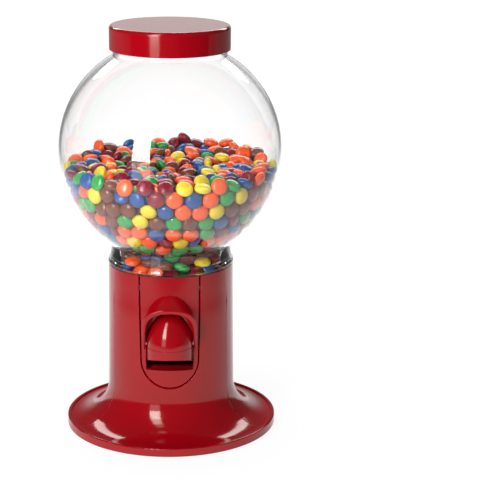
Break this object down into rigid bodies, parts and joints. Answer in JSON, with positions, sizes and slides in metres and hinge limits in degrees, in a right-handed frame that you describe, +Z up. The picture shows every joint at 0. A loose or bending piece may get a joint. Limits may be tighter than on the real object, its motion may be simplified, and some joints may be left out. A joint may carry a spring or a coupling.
{
  "type": "gumball machine",
  "caption": "Tabletop candy dispenser with a clear globe, lift-off lid, red column on a flared foot and a sprung rocker lever under a hood.",
  "frame": {"origin": "centre of the foot on the surface it stands on", "axes": "+Z up, -Y towards the front with the lever, +X to the machine's left as seen from behind, right as seen from the front"},
  "size_m": [0.18, 0.18, 0.3314],
  "materials": {
    "red_plastic": "polished red moulding",
    "clear_plastic": "polished clear plastic",
    "black_rubber": "matte black rubber",
    "white_silicone": "soft white silicone",
    "inner_plastic": "plain natural moulding",
    "dark_plastic": "plain black moulding",
    "zinc_steel": "zinc-plated steel",
    "spring_steel": "drawn spring wire",
    "candy": "sugar shells in mixed colours"
  },
  "bodies": {
    "base": {"base_housing": "red_plastic", "front_panel": "red_plastic", "hopper_funnel": "inner_plastic", "chute": "inner_plastic", "globe": "clear_plastic", "globe_seal": "black_rubber", "candy_fill": "candy", "base_plate": "dark_plastic", "rubber_feet": "black_rubber", "axle_keepers": "dark_plastic", "lever_axle": "zinc_steel", "lever_bumper": "black_rubber", "lever_spring": "spring_steel", "funnel_screws": "zinc_steel", "chute_screws": "zinc_steel", "panel_screws": "zinc_steel", "base_screws": "zinc_steel"},
    "lever": {"lever_cap": "red_plastic", "lever_body": "red_plastic", "portion_gate": "red_plastic", "gate_screws": "zinc_steel"},
    "lid_body": {"lid": "red_plastic", "lid_liner": "white_silicone"}
  },
  "joints": [
    {"name": "lever_hinge", "type": "hinge", "parent": "base", "child": "lever", "pos_m": [0, -0.0465, 0.083], "axis": [-1, 0, 0], "range_deg": [0, 36], "stiffness_Nm_per_rad": 0.03, "springref_deg": -20.05, "deforming": ["lever_spring"]},
    {"name": "lid_lift", "type": "slide", "parent": "base", "child": "lid_body", "axis": [0, 0, 1], "range_m": [0, 0.06]}
  ]
}
